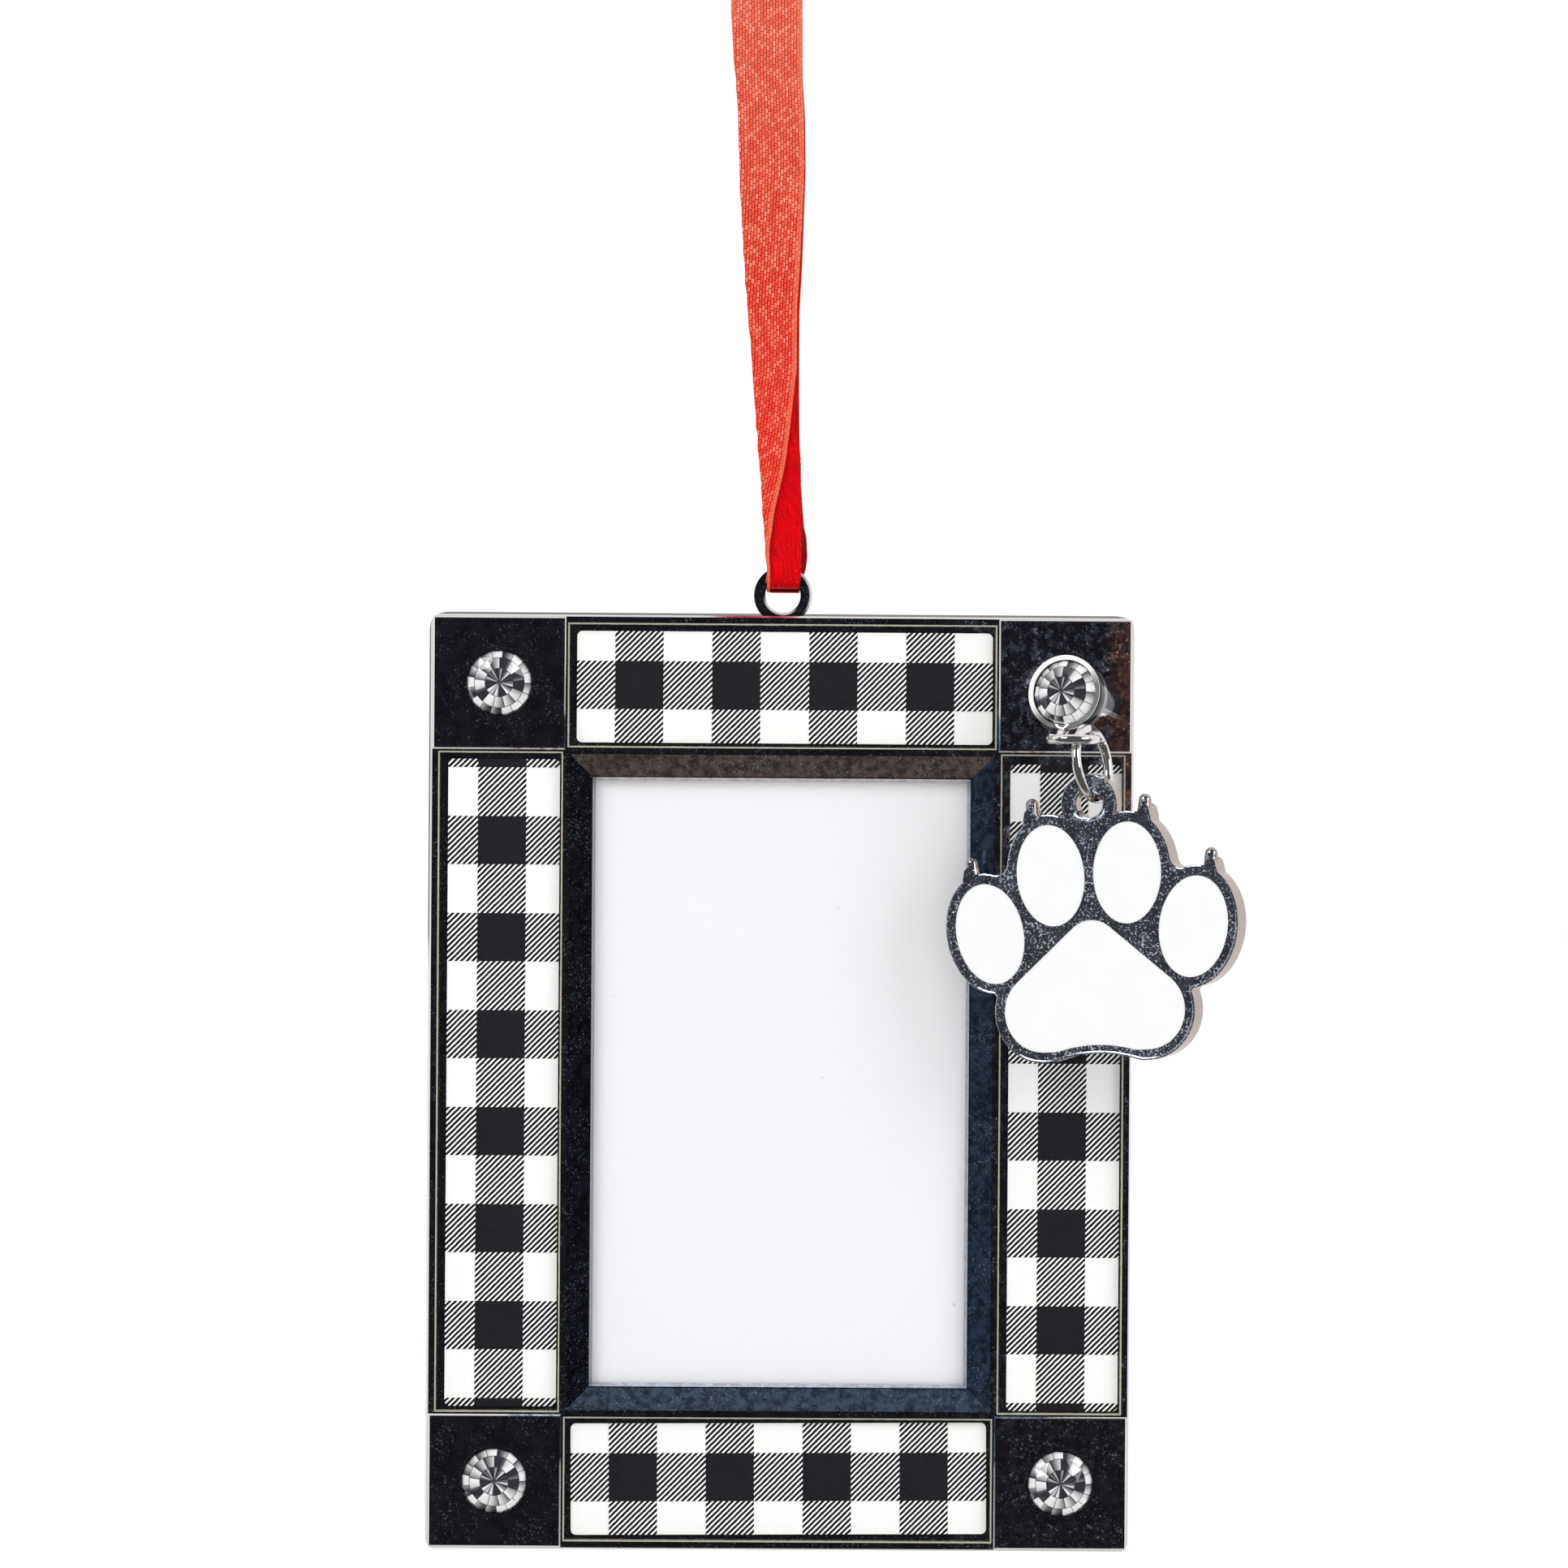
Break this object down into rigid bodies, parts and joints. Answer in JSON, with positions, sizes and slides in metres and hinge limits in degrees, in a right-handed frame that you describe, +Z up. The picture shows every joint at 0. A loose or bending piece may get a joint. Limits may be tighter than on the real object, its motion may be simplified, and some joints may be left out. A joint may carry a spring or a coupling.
{
  "type": "picture frame ornament",
  "caption": "Small metal picture frame ornament with resin-filled buffalo check panels, crystal corners, a linked white paw charm and a red satin ribbon loop for hanging.",
  "frame": {"origin": "inside of the top of the ribbon loop, where the hook goes", "axes": "+Z up, -Y towards the viewer, out of the picture, and +X to the viewer's right"},
  "size_m": [0.0671, 0.0186, 0.1459],
  "materials": {
    "nickel_dark": "polished nickel plate that mirrors dark surroundings",
    "nickel_bright": "polished nickel plate",
    "label_paper": "matte",
    "ink_black": "matte print",
    "ink_tint": "matte hatched print",
    "clear_resin": "clear gloss epoxy",
    "crystal": "cut and polished",
    "enamel_white": "gloss enamel",
    "window_clear": "clear sheet",
    "card_white": "satin card",
    "panel_black": "fine grain",
    "ribbon_red": "satin weave"
  },
  "bodies": {
    "frame": {"frame_casting": "nickel_dark", "top_label": "label_paper", "bottom_label": "label_paper", "left_label": "label_paper", "right_label": "label_paper", "check_black": "ink_black", "check_tint": "ink_tint", "top_resin": "clear_resin", "bottom_resin": "clear_resin", "left_resin": "clear_resin", "right_resin": "clear_resin", "crystal_top_left": "crystal", "crystal_bottom_left": "crystal", "crystal_bottom_right": "crystal", "crystal_top_right": "crystal", "charm_cup": "nickel_bright", "window_sheet": "window_clear", "photo_insert": "card_white", "ribbon": "ribbon_red"},
    "link": {"jump_ring": "nickel_bright"},
    "charm": {"paw_casting": "nickel_dark", "enamel_outer_left": "enamel_white", "enamel_inner_left": "enamel_white", "enamel_inner_right": "enamel_white", "enamel_outer_right": "enamel_white", "enamel_pad": "enamel_white"},
    "back": {"back_panel": "panel_black"}
  },
  "joints": [
    {"name": "ring_swing", "type": "hinge", "parent": "frame", "child": "link", "pos_m": [0.02737, -0.00852, -0.0778], "axis": [-0.8746, 0.4848, 0], "range_deg": [-2, 6]},
    {"name": "charm_swing", "type": "hinge", "parent": "link", "child": "charm", "pos_m": [0.02804, -0.00889, -0.08266], "axis": [-0.4848, -0.8746, 0], "range_deg": [-25, 30]},
    {"name": "back_slide", "type": "slide", "parent": "frame", "child": "back", "axis": [1, 0, 0], "range_m": [0, 0.04]}
  ]
}
